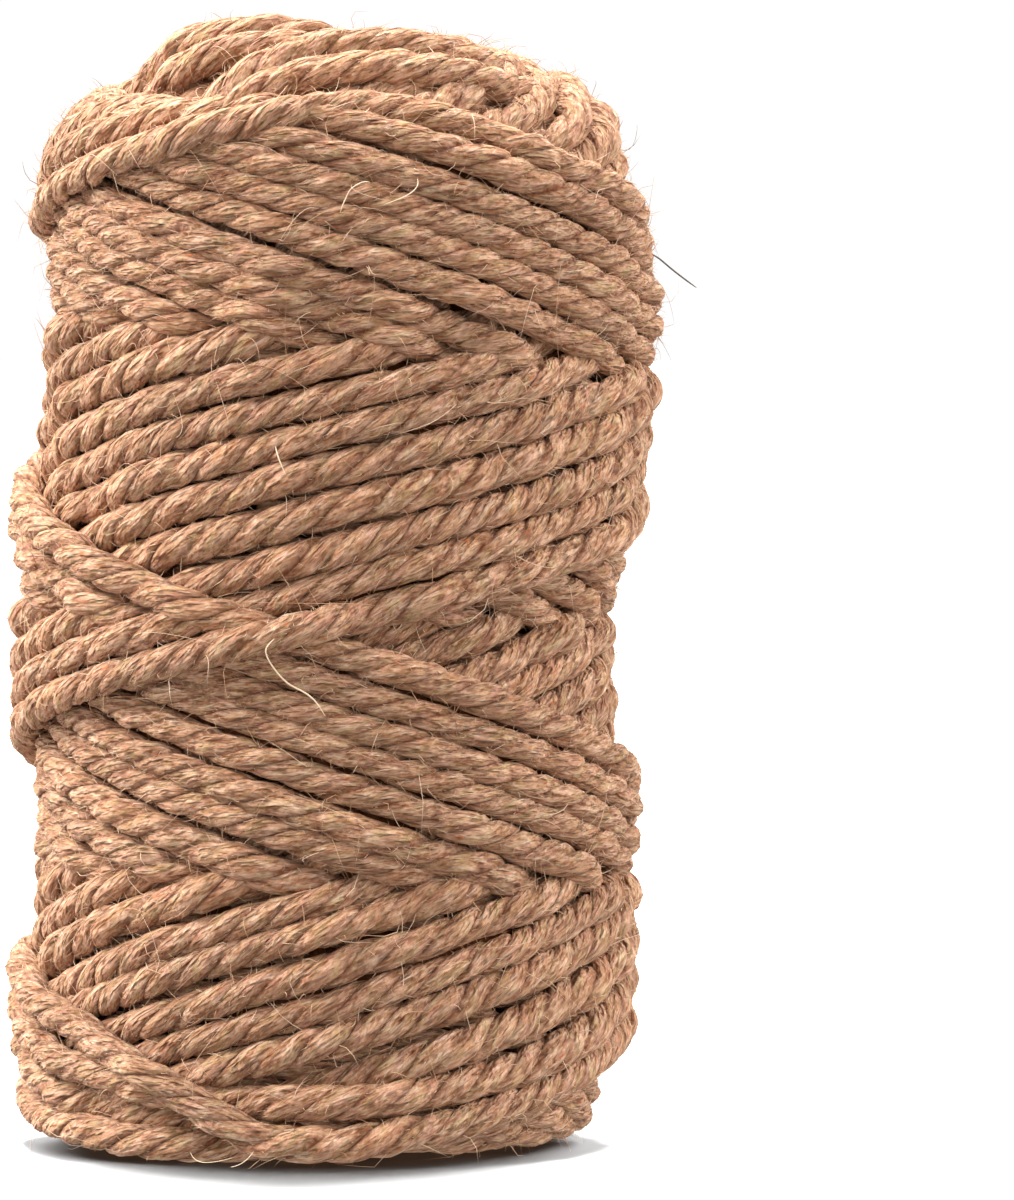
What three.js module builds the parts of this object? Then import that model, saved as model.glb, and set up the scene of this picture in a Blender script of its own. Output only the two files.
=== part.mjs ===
// A roll of thick three-strand jute rope, cross-wound on a bare spindle and slid off it:
// a stout upright package with no core, its turns climbing and falling between the two ends.
// One closed solid of the wound form, standing on its flat lower end. Millimetres, +Z up.
// The solid reaches the ridges of the outermost turns. It carries the wound form's main twists:
// the last fall and the last climb of the rope stand one rope proud of the oldest turns they pass,
// so the surface steps down across each of them, and the turns change direction at three rings.
import * as THREE from "three";
import { mergeVertices } from "three/addons/utils/BufferGeometryUtils.js";

// Driving dimensions
const RADIUS = 46.3; // mean radius over the ridges of the outermost turns
const HOLE_RADIUS = 7.5; // left by the spindle
const ROPE = 5.0; // rope diameter
const LAYER = 4.2; // what one full layer of crossing turns adds to the radius
const PITCH = 81.6; // height that the rope climbs in one turn round the roll
const FIRST_TURN = 3.2; // height of the rope's centre where it turns back at the lower end
const LAST_TURN = 157.0; // the same at the upper end
const TURN_BACK = -9; // degrees round from the front of the newest turning point below
const TURN_SWEEP = 79; // degrees round the roll over which the rope turns back
const STEP_WIDTH = 6.5; // height over which the surface steps down beside the newest turn
const LOWER_CORNER = 7.5; // radius of the rounded lower corner
const UPPER_CORNER = 9.0; // radius of the rounded shoulder
const RING_DEPTH = 1.3; // the valley where climbing and falling turns meet
const RING_WIDTH = 3.2;
const LEAN = 0.02; // sideways per millimetre of height: the soft roll leans a little to the right
const COLUMNS = 72; // round the roll
const SIDE_ROW = 3.3; // height of a row of the side

// The crown, from the shoulder in to the hole, where the inner layers were wound a little longer.
// share is how much of the outer turns' steps still shows there.
const CROWN = [
  { r: 34.0, z: 162.6, share: 0.4 },
  { r: 30.5, z: 165.0, share: 0.25 },
  { r: 27.0, z: 166.8, share: 0.1 },
  { r: 21.5, z: 167.6, share: 0 },
  { r: 15.5, z: 167.6, share: 0 },
  { r: 10.5, z: 166.4, share: 0 },
  { r: 7.5, z: 162.4, share: 0 },
];

// The turns don't lie level: how far each height dips towards the right, per millimetre across,
// and how far up it has crept from an even climb.
const TILT = [
  { z: 0, slope: 0, up: 0 },
  { z: 12, slope: 0.02, up: 0.7 },
  { z: 25, slope: 0.05, up: 1.3 },
  { z: 40, slope: 0.05, up: 1.6 },
  { z: 60, slope: 0.035, up: 1.3 },
  { z: 81, slope: 0.035, up: 1.1 },
  { z: 100, slope: 0.07, up: 1.7 },
  { z: 121, slope: 0.08, up: 2.3 },
  { z: 138, slope: 0.05, up: 1.9 },
  { z: 152, slope: 0.008, up: 1.6 },
  { z: 175, slope: 0, up: 1.5 },
];

// Where the soft side is pressed in or stands out. azimuth in degrees from the front,
// z, reach round the side, height and the amount outwards in millimetres
const PRESSED = [
  { azimuth: -90, z: 150, reach: 28, height: 9, out: -2.6 },
  { azimuth: -90, z: 164, reach: 30, height: 4.5, out: -4.5 },
  { azimuth: 90, z: 122, reach: 20, height: 8, out: 2.2 },
  { azimuth: 90, z: 92, reach: 20, height: 5, out: 1.7 },
  { azimuth: -90, z: 12, reach: 25, height: 6, out: -1.6 },
  { azimuth: 90, z: 9, reach: 20, height: 5, out: -1.5 },
];

// Soft undulation of the upper end, where turns of rope lie over each other.
// azimuth in degrees from the front, radius and reach in millimetres, rise in millimetres
const TOP_SWELLS = [
  { azimuth: -33, radius: 25, reach: 8.5, rise: 3.4 }, // the loop that stands up at the left
  { azimuth: 38, radius: 33, reach: 7, rise: 1.6 },
  { azimuth: 115, radius: 29, reach: 9, rise: 1.2 },
  { azimuth: 190, radius: 27, reach: 10, rise: 1.4 },
  { azimuth: 262, radius: 34, reach: 8, rise: 1.2 },
];

const TAU = Math.PI * 2;
const CLIMB = PITCH / TAU;
const wrap = (angle) => ((angle % TAU) + TAU) % TAU;
const smooth = (a, b, x) => {
  const u = Math.min(1, Math.max(0, (x - a) / (b - a)));
  return u * u * (3 - 2 * u);
};

// Height of the surface behind one newest turn, from +0.5 beside it to -0.5 a whole layer back,
// with the step between the two spread over STEP_WIDTH.
function behind(angle) {
  const share = wrap(angle) / TAU;
  const half = STEP_WIDTH / PITCH / 2;
  const edge = 0.5 - half;
  if (share < half) return (edge * share) / half;
  if (share > 1 - half) return (edge * (share - 1)) / half;
  return 0.5 - share;
}

// How far round the roll the rope has gone from its lower turning point when it is at height z:
// it leaves the turning point along a parabola and then climbs steadily.
function turned(z) {
  const sweep = THREE.MathUtils.degToRad(TURN_SWEEP);
  const height = Math.min(Math.max(z, FIRST_TURN), LAST_TURN) - FIRST_TURN;
  const eased = (CLIMB * sweep) / 4;
  return height < eased ? Math.sqrt((height * sweep) / CLIMB) : height / CLIMB + sweep / 4;
}

// What the newest climb and the newest fall of the rope add to the radius.
function layers(azimuth, z) {
  const turn = THREE.MathUtils.degToRad(TURN_BACK);
  return LAYER * (behind(turn + turned(z) - azimuth) + behind(turn - turned(z) - azimuth));
}

// The valleys where climbing turns meet falling turns, every half pitch.
function valleys(z) {
  let depth = 0;
  for (let k = 1; ; k++) {
    const ring = FIRST_TURN + k * PITCH * 0.5 - (CLIMB * THREE.MathUtils.degToRad(TURN_SWEEP)) / 4;
    if (ring > LAST_TURN - UPPER_CORNER) return depth;
    depth += RING_DEPTH * Math.exp(-(((z - ring) / RING_WIDTH) ** 2));
  }
}

function lie(z) {
  const i = TILT.findIndex((row) => row.z > z);
  if (i < 0) return TILT[TILT.length - 1];
  const [a, b] = [TILT[i - 1], TILT[i]];
  const u = (z - a.z) / (b.z - a.z);
  return { slope: a.slope + (b.slope - a.slope) * u, up: a.up + (b.up - a.up) * u };
}

function pressed(azimuth, z) {
  let out = 0;
  for (const p of PRESSED) {
    const off = wrap(azimuth - THREE.MathUtils.degToRad(p.azimuth) + Math.PI) - Math.PI;
    const round = (off * RADIUS) / p.reach;
    out += p.out * Math.exp(-0.5 * (round ** 2 + ((z - p.z) / p.height) ** 2));
  }
  return out;
}

function swells(x, y) {
  let rise = 0;
  for (const s of TOP_SWELLS) {
    const a = THREE.MathUtils.degToRad(s.azimuth);
    const d = Math.hypot(x - s.radius * Math.sin(a), y + s.radius * Math.cos(a));
    rise += s.rise * Math.exp(-((d / s.reach) ** 2));
  }
  return rise;
}

// The meridian, from the lower edge of the hole out over the foot, up the side,
// over the shoulder and back in to the hole. share is how far the layers show there.
function meridian() {
  const rows = [];
  const foot = RADIUS - LOWER_CORNER;
  for (const r of [HOLE_RADIUS, 22, foot]) rows.push({ r, z: 0, share: 0 });
  for (const part of [1 / 3, 2 / 3]) {
    const a = (part * Math.PI) / 2;
    rows.push({
      r: foot + LOWER_CORNER * Math.sin(a),
      z: LOWER_CORNER * (1 - Math.cos(a)),
      share: 0.5 + 0.4 * part,
    });
  }
  const shoulder = LAST_TURN + ROPE / 2 - UPPER_CORNER;
  const count = Math.round((shoulder - LOWER_CORNER) / SIDE_ROW);
  for (let i = 0; i <= count; i++)
    rows.push({
      r: RADIUS,
      z: LOWER_CORNER + ((shoulder - LOWER_CORNER) * i) / count,
      share: 1,
    });
  for (const part of [1 / 3, 2 / 3, 1]) {
    const a = (part * Math.PI) / 2;
    rows.push({
      r: RADIUS - UPPER_CORNER * (1 - Math.cos(a)),
      z: shoulder + UPPER_CORNER * Math.sin(a),
      share: 1 - 0.5 * part,
    });
  }
  rows.push(...CROWN, { r: HOLE_RADIUS, z: CROWN[0].z / 2, share: 0 });
  return rows;
}

function woundForm() {
  const rows = meridian();
  const points = [];
  for (const { r, z, share } of rows)
    for (let j = 0; j < COLUMNS; j++) {
      const azimuth = (j / COLUMNS) * TAU;
      const side = smooth(HOLE_RADIUS + 3, RADIUS - 4, r);
      const radius =
        r + share * layers(azimuth, z) - side * share * valleys(z) + side * pressed(azimuth, z);
      const x = radius * Math.sin(azimuth);
      const y = -radius * Math.cos(azimuth);
      const lift = r > HOLE_RADIUS ? swells(x, y) * smooth(LAST_TURN - 12, LAST_TURN + 2, z) : 0;
      const { slope, up } = lie(z);
      points.push(x + LEAN * z, y, z + up + lift - slope * x);
    }
  const faces = [];
  for (let i = 0; i < rows.length; i++)
    for (let j = 0; j < COLUMNS; j++) {
      const a = i * COLUMNS + j;
      const b = i * COLUMNS + ((j + 1) % COLUMNS);
      const up = ((i + 1) % rows.length) * COLUMNS - i * COLUMNS;
      faces.push(a, b, b + up, a, b + up, a + up);
    }
  const geometry = new THREE.BufferGeometry();
  geometry.setAttribute("position", new THREE.Float32BufferAttribute(points, 3));
  geometry.setIndex(faces);
  geometry.computeBoundingBox();
  const middle = geometry.boundingBox.getCenter(new THREE.Vector3());
  geometry.translate(-middle.x, -middle.y, 0);
  const closed = mergeVertices(geometry, 1e-4);
  closed.computeVertexNormals();
  return closed;
}

const jute = new THREE.MeshStandardMaterial({
  color: new THREE.Color().setRGB(0.62, 0.46, 0.36, THREE.SRGBColorSpace),
  roughness: 0.92,
  metalness: 0,
});

const roll = new THREE.Mesh(woundForm(), jute);
roll.name = "rope_roll";

const root = new THREE.Group();
root.add(roll);

export default root;
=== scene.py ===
import bpy
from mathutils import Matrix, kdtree
import math
import numpy as np


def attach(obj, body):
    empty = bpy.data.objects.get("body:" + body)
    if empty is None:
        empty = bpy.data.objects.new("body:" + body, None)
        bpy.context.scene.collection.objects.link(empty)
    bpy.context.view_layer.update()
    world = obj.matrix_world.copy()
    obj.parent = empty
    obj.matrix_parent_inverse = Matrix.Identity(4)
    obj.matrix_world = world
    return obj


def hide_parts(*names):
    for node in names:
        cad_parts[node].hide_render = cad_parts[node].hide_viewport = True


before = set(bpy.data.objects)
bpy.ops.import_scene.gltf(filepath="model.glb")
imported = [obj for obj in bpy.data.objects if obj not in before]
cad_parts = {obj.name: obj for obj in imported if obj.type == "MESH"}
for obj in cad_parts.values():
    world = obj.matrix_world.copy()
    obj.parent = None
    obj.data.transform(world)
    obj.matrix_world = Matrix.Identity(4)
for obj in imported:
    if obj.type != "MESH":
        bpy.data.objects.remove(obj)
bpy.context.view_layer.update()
TAU = 2.0 * math.pi
MM = 0.001

# ---------------------------------------------------------------------------
# The camera: nearly level, a long way off, the roll left of the middle
# ---------------------------------------------------------------------------
FOCAL_PX = 9750.0          # for an image 1014 wide
AXIS_PX = (328.0, 320.0)   # where the roll's axis and the horizon are in the image
EYE = (0.0, -1.5, 0.1267)


def make_camera():
    data = bpy.data.cameras.new("camera")
    data.sensor_fit = "HORIZONTAL"
    data.sensor_width = 36.0
    data.lens = FOCAL_PX * 36.0 / 1014.0
    data.clip_start = 0.05
    data.clip_end = 30.0
    cam = bpy.data.objects.new("camera", data)
    bpy.context.scene.collection.objects.link(cam)
    cam.location = EYE
    pan = math.atan((507.0 - AXIS_PX[0]) / FOCAL_PX)
    tilt = math.atan((600.0 - AXIS_PX[1]) / FOCAL_PX)
    cam.rotation_euler = (math.pi / 2 - tilt, 0.0, -pan)
    bpy.context.scene.camera = cam


make_camera()

# ---------------------------------------------------------------------------
# Winding. Everything here is in millimetres. The azimuth is 0 at the front
# and grows to the right; the rope climbs two turns, turns back, falls two
# turns and turns back again, a little further round each time.
# ---------------------------------------------------------------------------
RHO = 2.5                              # rope radius in the winding
PER_LAYER = 15                         # climbs in one full layer
PITCH = 81.6                           # climb in one turn
SWEEP = math.radians(79)               # azimuth over which the rope turns back below
SWEEP_TOP = math.radians(50)           # and above
TURN_BACK = math.radians(-9.0)         # newest turning point below
LAYER = 4.2                            # radius gained by one family of a layer
R_IN, R_OUT = 8.0, 46.3
SMOOTH = 9.0
CORNER_TOP, CORNER_BOTTOM = 9.0, 4.0
LAST_FALL = 2.2                        # the last fall of the rope, in radians
# rope centre where it turns back above, by the layer's radius
TURN_TOP = {"radius": (8.0, 27.0, 31.0, 35.0, 40.0, 43.0, 46.3),
            "height": (166.2, 165.9, 164.8, 162.6, 160.2, 158.6, 157.0)}
TURN_BOTTOM = (2.6, 3.6)
# the soft roll leans and sags: what each height moves by
TILT = {"z": (0, 12, 25, 40, 60, 81, 100, 121, 138, 152, 175),
        "slope": (0, 0.02, 0.015, 0.035, 0.035, 0.035, 0.07, 0.08, 0.05, 0.008, 0.0)}
SAG = {"z": (0, 12, 20, 40, 80, 121, 158, 175), "drop": (0, 0.1, 0.3, 1.4, 1.1, 2.3, 1.5, 1.5)}
# and where it is pressed in or stands out, across (mm) at an azimuth (deg) and height (mm)
PUSH = {"azimuth": (-90, -90, 90, 90, -90, 90), "z": (150, 165, 122, 92, 12, 9),
        "reach": (55, 60, 40, 40, 50, 40), "tall": (9, 4.5, 8, 5, 6, 5),
        "out": (-2.6, -4.5, 2.2, 1.7, -1.6, -1.5)}
# hollows in the top, where turns have slipped: place, size across and depth, mm
HOLLOW = {"x": (-15, 9, 36), "y": (-27, -28, -27), "across": (6.5, 6.0, 7.0), "deep": (3.0, 0.4, 3.0)}
# the newest falls come down steeply to the front: extra height by azimuth before the turning point
STEEP = {"azimuth": (0, 3, 7, 11, 18, 27, 36, 48, 62, 75, 100, 150),
         "height": (-0.4, -0.3, 1.3, 3.8, 7.0, 8.9, 10.0, 9.6, 9.3, 9.6, 8.0, 0)}
STEEP_SHARE = {0: 1.0, 1: 0.85, 2: 0.6, 3: 0.3}
# the turn before the newest one lies high and flat over the newest where it turns back below
HIGH = {"azimuth": (0, 9, 24, 36, 55, 75, 103, 150), "climb": (6.7, 5.2, 4.3, 2.7, -0.5, -1.3, -1.4, 0),
        "fall": (6.7, 5.7, 1.5, -0.9, 0.4, 0, 0, 0), "newest": (-0.2, -0.3, -0.9, -1.3, -1.2, -1.8, -1.4, 0),
        "climb_before": (4.2, 3.8, 1.1, -1.5, -0.4, 0, 0, 0), "fall_before": (4.4, 3.4, 2.0, 1.0, 0, 0, 0, 0)}
# there it also lies over the turn before it: what each moves out by
OVER = {"azimuth": (0, 14, 24, 34, 50, 66, 80), "upper": (0.3, 1.0, 1.0, 0.9, 0.8, 0.3, 0),
        "under": (-0.3, -0.6, -1.5, -3.0, -3.0, -1.3, 0)}
LEAN, SHIFT = 0.02, -1.6
CLIMB = PITCH / TAU


def gauss(x, sigma):
    n = int(4 * sigma + 1)
    k = np.exp(-0.5 * (np.arange(-n, n + 1) / sigma) ** 2)
    return np.convolve(np.pad(x, n, mode="edge"), k / k.sum(), mode="valid")


def centre_radius(z, radius, top, bottom):
    """Wanted radius of the rope's centre line at height z, rounded off at both ends."""
    ct = min(CORNER_TOP, radius * 0.6) - RHO
    cb = min(CORNER_BOTTOM, radius * 0.5) - RHO
    out = np.full_like(z, radius - RHO)
    x = np.clip((z - (top - ct)) / ct, 0, 1)
    out -= ct * (1 - np.sqrt(1 - x * x))
    x = np.clip(((bottom + cb) - z) / cb, 0, 1)
    out -= cb * (1 - np.sqrt(1 - x * x))
    return out


def turned(z, bottom):
    h = np.clip(z - bottom, 0, None)
    eased = CLIMB * SWEEP / 4
    return np.where(h < eased, np.sqrt(h * SWEEP / CLIMB), h / CLIMB + SWEEP / 4)


def behind(angle, half=0.03):
    x = (angle / TAU) % 1.0
    return np.where(x < half, (0.5 - half) * x / half,
                    np.where(x > 1 - half, (0.5 - half) * (x - 1) / half, 0.5 - x))


def even_smooth(x, s, width):
    n = max(2, int((s[-1] - s[0])))
    g = np.linspace(s[0], s[-1], n)
    return np.interp(s, g, gauss(np.interp(g, s, x), width / (g[1] - g[0])))


def wind():
    """The whole rope as a path: azimuth, height, radius, and the height map it leaves."""
    rng = np.random.default_rng(3)
    nt, dz = 900, 0.4
    nz = int(172 / dz) + 1
    # cycles, counted back from the newest turning point below
    radius, start, radii = R_OUT, [0.0], [R_OUT]
    while radius > R_IN + 0.5 * LAYER:
        slope = math.atan2(CLIMB, radius - RHO)
        k = PER_LAYER
        if radius < R_OUT - 11:
            k = min(PER_LAYER, max(6, int(PITCH * math.cos(slope) / 5.2)))
        start.append(start[-1] - (4 * TAU + TAU / k))
        radius -= 2 * LAYER / k
        radii.append(radius)
    count = len(start) - 1
    start, radii = start[::-1], radii[::-1]
    top_mean = np.interp(radii, TURN_TOP["radius"], TURN_TOP["height"])
    top = top_mean + np.where(np.arange(count + 1) < count - 1, rng.normal(0, 0.7, count + 1), 0)
    share = np.arange(count + 2) / count
    bottom = TURN_BOTTOM[0] + (TURN_BOTTOM[1] - TURN_BOTTOM[0]) * share ** 2
    bottom = bottom + np.where(np.arange(count + 2) < count - 1, np.abs(rng.normal(0, 0.7, count + 2)), 0)
    height = np.full((nt, nz), radii[0])
    a0 = (TURN_BACK + start[0] + (np.arange(nz) * dz - 2.6)[None] / CLIMB - (np.arange(nt) + 0.5)[:, None] / nt * TAU) % TAU
    b0 = (TURN_BACK + start[0] - (np.arange(nz) * dz - 2.6)[None] / CLIMB - (np.arange(nt) + 0.5)[:, None] / nt * TAU) % TAU
    height += LAYER * (a0 / TAU + b0 / TAU) - LAYER
    strokes = []
    for i in range(count + 1):
        half = (start[i + 1] - start[i]) / 2 if i < count else (4 * TAU + TAU / PER_LAYER) / 2
        end = start[i + 1] if i < count else start[i] + half + LAST_FALL
        strokes.append((start[i], start[i] + half, 1, i, half))
        strokes.append((start[i] + half, end, -1, i, half))
    path = []
    for si, (t0, t1, sign, i, half) in enumerate(strokes):
        apex = start[i] + half
        rmean = max(radii[i], R_IN) - RHO
        m = max(24, int((t1 - t0) * math.hypot(rmean, CLIMB) / 1.2))
        tau = np.linspace(t0, t1, m)
        full = half - SWEEP / 4 - SWEEP_TOP / 4
        if sign > 0:
            d0, d1, z0 = tau - start[i], apex - tau, bottom[i]
        else:
            d0, d1, z0 = (start[i + 1] if i < count else apex + half) - tau, tau - apex, bottom[i + 1]
        f = np.where(d0 < SWEEP / 2, d0 ** 2 / SWEEP,
                     np.where(d1 < SWEEP_TOP / 2, full - d1 ** 2 / SWEEP_TOP, d0 - SWEEP / 4)) / full
        z = z0 + (top[i] - z0) * f
        if sign < 0 and count - 1 - i in STEEP_SHARE:
            z = z + STEEP_SHARE[count - 1 - i] * np.interp(np.degrees(d0), STEEP["azimuth"], STEEP["height"])
            z = gauss(z, 6)
        if (sign > 0 and i == count - 1) or (sign < 0 and i == count - 2):
            z = z + np.interp(np.degrees(d0), HIGH["azimuth"], HIGH["climb" if sign > 0 else "fall"])
            z = gauss(z, 6)
        if (sign > 0 and i == count - 2) or (sign < 0 and i == count - 3):
            z = z + np.interp(np.degrees(d0), HIGH["azimuth"], HIGH["climb_before" if sign > 0 else "fall_before"])
            z = gauss(z, 6)
        if sign > 0 and i == count:
            z = gauss(z + np.interp(np.degrees(d0), HIGH["azimuth"], HIGH["newest"]), 6)
        th = TURN_BACK + tau
        slope = np.arctan2(np.gradient(z, tau), rmean)
        q = np.linspace(-RHO * 0.8, RHO * 0.8, 17)
        tt = th[:, None] - q[None] * np.sin(slope)[:, None] / rmean
        zz = z[:, None] + q[None] * np.cos(slope)[:, None]
        it = np.floor((tt % TAU) / TAU * nt).astype(int) % nt
        iz = np.clip(np.round(zz / dz).astype(int), 0, nz - 1)
        contact = (height[it, iz] + np.sqrt(RHO ** 2 - q ** 2)[None]).max(1)
        s = np.concatenate([[0], np.cumsum(np.hypot(np.diff(th) * rmean, np.diff(z)))])
        press = 8.0 if si < len(strokes) - 3 else 12.0
        g = contact - s * s / (2 * press)
        hull = [0]
        for k in range(1, m):
            while len(hull) >= 2:
                i0, i1 = hull[-2], hull[-1]
                if (g[i1] - g[i0]) * (s[k] - s[i1]) <= (g[k] - g[i1]) * (s[i1] - s[i0]):
                    hull.pop()
                else:
                    break
            hull.append(k)
        r = np.interp(s, s[hull], g[hull]) + s * s / (2 * press)
        here = TURN_BACK + start[i]
        d = turned(z, bottom[i])
        other = behind((here - d - th) if sign > 0 else (here + d - th))
        want = centre_radius(z, radii[i] + (LAYER / PER_LAYER if sign < 0 else 0), top[i],
                             bottom[i] if sign > 0 else bottom[i + 1])
        ease = np.clip((z - (top[i] - 9)) / 9, 0, 1)
        want = want + LAYER * (0.5 + other) * (1 - 0.75 * ease * ease * (3 - 2 * ease))
        r = r + even_smooth(want - r, s, SMOOTH)
        if sign > 0 and i in (count - 1, count - 2):
            r = r + np.interp(np.degrees(d0), OVER["azimuth"], OVER["upper" if i == count - 1 else "under"])
        q = np.linspace(-RHO * 0.98, RHO * 0.98, 23)
        tf = np.linspace(t0, t1, m * 4)
        rf, zf, af = (np.interp(tf, tau, v) for v in (r, z, slope))
        tt = (TURN_BACK + tf)[:, None] - q[None] * np.sin(af)[:, None] / rmean
        zz = zf[:, None] + q[None] * np.cos(af)[:, None]
        it = np.floor((tt % TAU) / TAU * nt).astype(int) % nt
        iz = np.round(zz / dz).astype(int)
        ok = (iz >= 0) & (iz < nz)
        np.maximum.at(height, (it[ok], iz[ok]), (rf[:, None] + np.sqrt(RHO ** 2 - q ** 2)[None])[ok])
        path.append([th, z, r])
    # join the strokes, easing out the small steps where they meet
    for a, b in zip(path[:-1], path[1:]):
        gap = b[2][0] - a[2][-1]
        n = min(10, len(a[2]), len(b[2]))
        a[2][-n:] += gap / 2 * np.linspace(0, 1, n) ** 2
        b[2][:n] -= gap / 2 * np.linspace(1, 0, n) ** 2
        if b is path[-2]:       # the newest turn stays on top as it turns back
            over = np.linspace(a[2][-9], b[2][40], 49)
            a[2][-9:], b[2][:40] = over[:9], over[9:]
        gap = b[1][0] - a[1][-1]
        n = min(12, len(a[1]), len(b[1]))
        a[1][-n:] += gap / 2 * np.linspace(0, 1, n) ** 2
        b[1][:n] -= gap / 2 * np.linspace(1, 0, n) ** 2
    th = np.concatenate([p[0][:-1] for p in path] + [path[-1][0][-1:]])
    z = np.concatenate([p[1][:-1] for p in path] + [path[-1][1][-1:]])
    r = np.concatenate([p[2][:-1] for p in path] + [path[-1][2][-1:]])
    return th, z, r, height, nt, nz, dz


def warp(p):
    x, y, z = p[..., 0], p[..., 1], p[..., 2]
    tilt = np.interp(z, TILT["z"], TILT["slope"])
    sag = np.interp(z, SAG["z"], SAG["drop"])
    rr = np.hypot(x, y) + 1e-9
    az = np.degrees(np.arctan2(x, -y))
    out = np.zeros_like(x)
    for a, h, reach, tall, amount in zip(*PUSH.values()):
        off = (az - a + 180) % 360 - 180
        out += amount * np.exp(-0.5 * (off / reach * 1.6) ** 2 - 0.5 * ((z - h) / tall) ** 2)
    grow = 1 + out / 46.0
    drop = np.zeros_like(x)
    for hx, hy, across, deep in zip(*HOLLOW.values()):
        drop += deep * np.exp(-0.5 * ((x - hx) ** 2 + (y - hy) ** 2) / across ** 2) * np.clip((z - 145) / 15, 0, 1)
    return np.stack([x * grow + LEAN * z + SHIFT, y * grow, z - tilt * x + sag - drop], -1)


def wave(s, period, rng, octaves=2):
    """Smooth seeded noise along a length, about -1 to 1."""
    out = np.zeros_like(s)
    for o in range(octaves):
        p = period / 2 ** o
        n = int(s.max() / p) + 6
        knots = rng.uniform(-1, 1, n)
        x = s / p + 1
        i = np.floor(x).astype(int)
        f = x - i
        f = f * f * (3 - 2 * f)
        out += (knots[i] * (1 - f) + knots[i + 1] * f) / 2 ** o
    return out


STEP = 1.5       # length between rings of the rope's mesh
LAY = 18.4                              # length in which a strand goes once round
FIBRE_SHEAR = math.tan(math.radians(14)) - TAU * 2.5 / LAY

th, z, r, H, NT, NZ, DZ = wind()
rng = np.random.default_rng(11)
speed = np.hypot(np.hypot(np.diff(th) * 0.5 * (r[1:] + r[:-1]), np.diff(z)), np.diff(r))
length = np.concatenate([[0], np.cumsum(speed)])
S = np.arange(0, length[-1], STEP)
th, z, r = (np.interp(S, length, v) for v in (th, z, r))
r = gauss(r, 1.3 / STEP)
z = z + 0.22 * wave(S, 34, rng)
r = r + 0.12 * wave(S, 21, rng)
print("rope length in the winding, m:", round(length[-1] / 1000, 2), "samples", len(S))

# ---------------------------------------------------------------------------
# Which stretches of the rope show: from the side, from above and from below
# ---------------------------------------------------------------------------
SHOW_DEPTH = 1.7


def plan_map(x, y, h, cell=0.5, size=56.0):
    n = int(2 * size / cell)
    out = np.full((n, n), -1e3)
    for dx in np.arange(-RHO, RHO + 0.01, cell * 0.9):
        for dy in np.arange(-RHO, RHO + 0.01, cell * 0.9):
            d2 = dx * dx + dy * dy
            if d2 > RHO * RHO * 0.98:
                continue
            ix = np.floor((x + dx + size) / cell).astype(int)
            iy = np.floor((y + dy + size) / cell).astype(int)
            ok = (ix >= 0) & (ix < n) & (iy >= 0) & (iy < n)
            np.maximum.at(out, (ix[ok], iy[ok]), (h + math.sqrt(RHO * RHO - d2))[ok])
    return out


def seen_in_plan(x, y, h, cell=0.5, size=56.0):
    m = plan_map(x, y, h, cell, size)
    n = m.shape[0]
    best = np.full(len(x), -1e3)
    for k in range(8):
        for q in (0.0, 0.45, 0.85):
            dx, dy = q * RHO * math.cos(k * TAU / 8), q * RHO * math.sin(k * TAU / 8)
            ix = np.clip(np.floor((x + dx + size) / cell).astype(int), 0, n - 1)
            iy = np.clip(np.floor((y + dy + size) / cell).astype(int), 0, n - 1)
            best = np.maximum(best, h + math.sqrt(RHO * RHO - (q * RHO) ** 2) - m[ix, iy])
    return best


slope = np.arctan2(np.gradient(z, S), np.gradient(th, S) * r)
side = np.full(len(S), -1e3)
for q in np.linspace(-0.9, 0.9, 9) * RHO:
    it = np.floor(((th - q * np.sin(slope) / r) % TAU) / TAU * NT).astype(int) % NT
    iz = np.clip(np.round((z + q * np.cos(slope)) / DZ).astype(int), 0, NZ - 1)
    side = np.maximum(side, r + math.sqrt(RHO ** 2 - q ** 2) - H[it, iz])
X, Y = r * np.sin(th), -r * np.cos(th)
above = seen_in_plan(X, Y, z)
below = seen_in_plan(X, Y, -z)
shown = (side > -SHOW_DEPTH) | ((above > -2.4) & (z > 110)) | ((below > -1.2) & (z < 40))
grow = int(4.0 / STEP)
shown = np.convolve(shown.astype(float), np.ones(2 * grow + 1), mode="same") > 0.5
edges = np.flatnonzero(np.diff(np.concatenate([[0], shown.astype(int), [0]])))
runs = list(zip(edges[::2], edges[1::2]))
print("runs", len(runs), "shown m", round(shown.sum() * STEP / 1000, 2))

# ---------------------------------------------------------------------------
# The rope's surface: three strands laid left-handed round each other
# ---------------------------------------------------------------------------
PER_STRAND = 8
SECTION = {"angle": (-60, -53, -40, -21, 0, 21, 40, 53),
           "radius": (2.13, 2.35, 2.55, 2.69, 2.73, 2.69, 2.55, 2.35),
           "groove": (1.0, 0.5, 0.1, 0.0, 0.0, 0.0, 0.1, 0.5)}
PHI = np.concatenate([np.radians(SECTION["angle"]) + k * TAU / 3 for k in range(3)])
RAD = np.tile(SECTION["radius"], 3)
GROOVE = np.tile(SECTION["groove"], 3)
NP = len(PHI)

lay_phase = -TAU * (S / LAY + 0.35 * wave(S, 90, rng))
thick = 1.0 + 0.035 * wave(S, 55, rng) + 0.02 * wave(S, 9, rng)
strand_fat = np.stack([0.06 * wave(S, 20, rng) for _ in range(3)], 1)      # each strand swells and thins
strand_shift = np.stack([0.13 * wave(S, 15, rng) for _ in range(3)], 1)
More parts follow.
